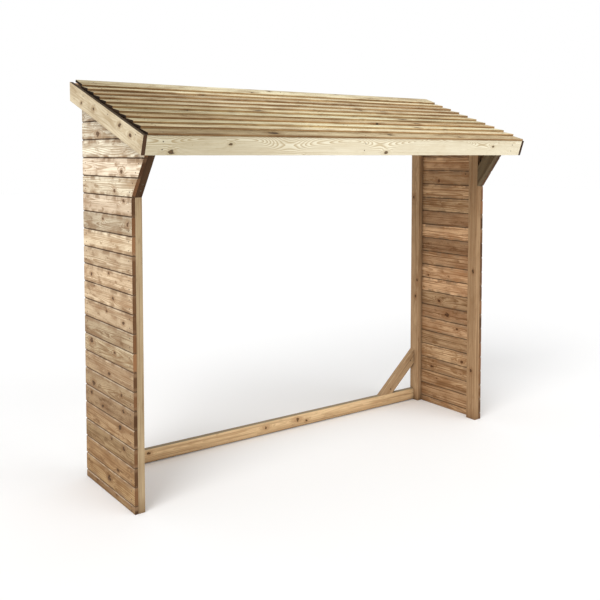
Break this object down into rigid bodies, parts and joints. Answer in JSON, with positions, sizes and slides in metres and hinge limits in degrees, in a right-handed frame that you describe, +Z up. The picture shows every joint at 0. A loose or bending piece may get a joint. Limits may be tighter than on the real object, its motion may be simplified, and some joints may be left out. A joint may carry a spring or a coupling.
{
  "type": "firewood log rack",
  "caption": "Lean-to timber firewood rack: two boarded side panels, a sloping roof of lapped boards with fascia and barge boards, open front and back, low rear rail with a brace in one corner.",
  "frame": {"origin": "on the ground, in the middle of the overall width and depth", "axes": "+X along the rack from its left panel to its right one seen from the front, +Y from the open front to the wall behind, +Z up"},
  "size_m": [2.4378, 0.8331, 2.0037],
  "materials": {
    "frame_timber": "planed pressure-treated softwood, matt, rounded arrises",
    "cladding_board": "planed pressure-treated softwood with knots, matt",
    "roof_board": "pressure-treated softwood, streaked, matt",
    "fascia_board": "pale pressure-treated softwood with a green-yellow cast, matt",
    "barge_board": "pressure-treated softwood, dark end grain, matt",
    "nail_steel": "dull galvanised heads, a little tarnished",
    "screw_steel": "dull plated"
  },
  "bodies": {
    "root": {"back_brace_right": "frame_timber", "barge_board_left": "barge_board", "barge_board_right": "barge_board", "cladding_left_01_02": "cladding_board", "cladding_left_03_04": "cladding_board", "cladding_left_05_07": "cladding_board", "cladding_left_08_10": "cladding_board", "cladding_left_11_13": "cladding_board", "cladding_left_14_16": "cladding_board", "cladding_left_17": "cladding_board", "cladding_left_18": "cladding_board", "cladding_left_19": "cladding_board", "cladding_left_20": "cladding_board", "cladding_left_21": "cladding_board", "cladding_left_22": "cladding_board", "cladding_left_strip": "cladding_board", "cladding_nails_left": "nail_steel", "cladding_nails_right": "nail_steel", "cladding_right_01_02": "cladding_board", "cladding_right_03_04": "cladding_board", "cladding_right_05_07": "cladding_board", "cladding_right_08_10": "cladding_board", "cladding_right_11_13": "cladding_board", "cladding_right_14_16": "cladding_board", "cladding_right_17": "cladding_board", "cladding_right_18": "cladding_board", "cladding_right_19": "cladding_board", "cladding_right_20": "cladding_board", "cladding_right_21": "cladding_board", "cladding_right_22": "cladding_board", "cladding_right_strip": "cladding_board", "fascia": "fascia_board", "frame_screws": "screw_steel", "knee_brace_left": "frame_timber", "knee_brace_right": "frame_timber", "post_front_left": "frame_timber", "post_front_right": "frame_timber", "post_rear_left": "frame_timber", "post_rear_right": "frame_timber", "rafter_left": "frame_timber", "rafter_middle": "frame_timber", "rafter_right": "frame_timber", "rail_bottom_rear": "frame_timber", "rail_top_rear": "frame_timber", "roof_batten_left": "frame_timber", "roof_batten_right": "frame_timber", "roof_board_01": "roof_board", "roof_board_02": "roof_board", "roof_board_03": "roof_board", "roof_board_04": "roof_board", "roof_board_05": "roof_board", "roof_board_06": "roof_board", "roof_board_07": "roof_board", "roof_board_08": "roof_board", "roof_board_09": "roof_board", "roof_board_10": "roof_board", "roof_board_11": "roof_board", "roof_nails": "nail_steel", "trim_nails": "nail_steel"}
  },
  "joints": []
}
